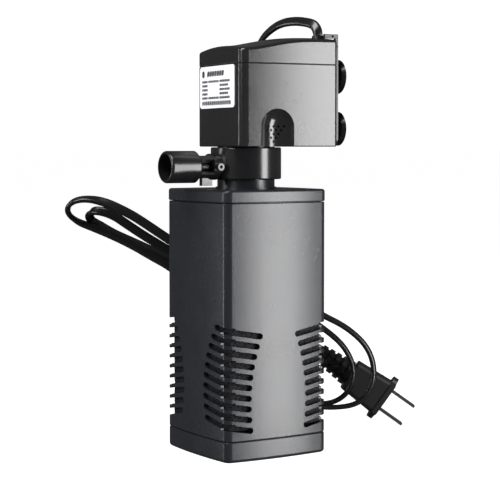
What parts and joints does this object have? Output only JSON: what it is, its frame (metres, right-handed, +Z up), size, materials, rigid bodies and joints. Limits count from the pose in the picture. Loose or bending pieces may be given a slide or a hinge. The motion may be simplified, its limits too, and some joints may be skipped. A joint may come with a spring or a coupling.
{
  "type": "internal power filter",
  "caption": "Upright internal aquarium filter: pump head with a side outlet nozzle on a slotted square canister, with suction cups and a looped mains cord with its plug.",
  "frame": {"origin": "centre of the base cap's flat underside, on the axis of the pump and the canister", "axes": "+Z up along the pump axis, -Y along the outlet nozzle, +Y towards the suction cups"},
  "size_m": [0.1404, 0.1833, 0.2351],
  "materials": {
    "head_plastic": "fine-grained black moulding with a soft shine",
    "canister_plastic": "satin black moulding",
    "chamber_plastic": "smooth black moulding",
    "nozzle_plastic": "smooth black moulding",
    "bracket_plastic": "satin black moulding",
    "plug_plastic": "moulded black vinyl",
    "cord_rubber": "glossy black vinyl",
    "soft_rubber": "soft black rubber",
    "impeller_plastic": "smooth white moulding",
    "label": "printed white film",
    "resin": "cast black resin",
    "lamination": "stacked steel sheets",
    "copper_wire": "wound enamelled wire",
    "magnet": "sintered ferrite",
    "ceramic": "polished white ceramic",
    "blade_metal": "nickel-plated brass",
    "sponge": "open-cell black foam"
  },
  "bodies": {
    "pump_head": {"motor_housing": "head_plastic", "motor_cover": "head_plastic", "stator_core": "lamination", "stator_coils": "copper_wire", "sealing_resin": "resin", "rating_label": "label", "cord_gland": "cord_rubber", "rotor_shaft": "ceramic", "upper_bush": "soft_rubber", "mains_cord": "cord_rubber", "plug_relief": "cord_rubber", "plug_body": "plug_plastic", "plug_blades": "blade_metal"},
    "bracket": {"suction_bracket": "bracket_plastic", "suction_cup_1": "soft_rubber", "suction_cup_2": "soft_rubber", "suction_cup_3": "soft_rubber", "suction_cup_4": "soft_rubber"},
    "rotor": {"impeller": "impeller_plastic", "rotor_magnet": "magnet"},
    "chamber": {"outlet_chamber": "chamber_plastic", "intake_spider": "chamber_plastic", "lower_bush": "soft_rubber", "chamber_seal": "soft_rubber", "neck_seal": "soft_rubber"},
    "nozzle": {"outlet_nozzle": "nozzle_plastic", "jet_insert": "nozzle_plastic", "air_nipple": "nozzle_plastic"},
    "canister_top": {"canister_lid": "canister_plastic", "core_tube": "chamber_plastic", "filter_sponge": "sponge"},
    "canister": {"canister_shell": "canister_plastic"},
    "base": {"base_cap": "canister_plastic"}
  },
  "joints": [
    {"name": "rotor_spin", "type": "hinge", "parent": "pump_head", "child": "rotor", "pos_m": [0, 0, 0.165], "axis": [0, 0, 1], "continuous": true},
    {"name": "chamber_turn", "type": "hinge", "parent": "pump_head", "child": "chamber", "pos_m": [0, 0, 0.155], "axis": [0, 0, 1], "range_deg": [-45, 45]},
    {"name": "nozzle_turn", "type": "hinge", "parent": "chamber", "child": "nozzle", "pos_m": [0, -0.02, 0.153], "axis": [0, -1, 0], "continuous": true},
    {"name": "canister_turn", "type": "hinge", "parent": "chamber", "child": "canister_top", "pos_m": [0, 0, 0.143], "axis": [0, 0, 1], "continuous": true},
    {"name": "canister_slide", "type": "slide", "parent": "canister_top", "child": "canister", "axis": [0, 0, -1], "range_m": [0, 0.135]},
    {"name": "cap_slide", "type": "slide", "parent": "canister", "child": "base", "axis": [0, 0, -1], "range_m": [0, 0.03]},
    {"name": "bracket_slide", "type": "slide", "parent": "pump_head", "child": "bracket", "axis": [0, 0, 1], "range_m": [0, 0.036]}
  ]
}
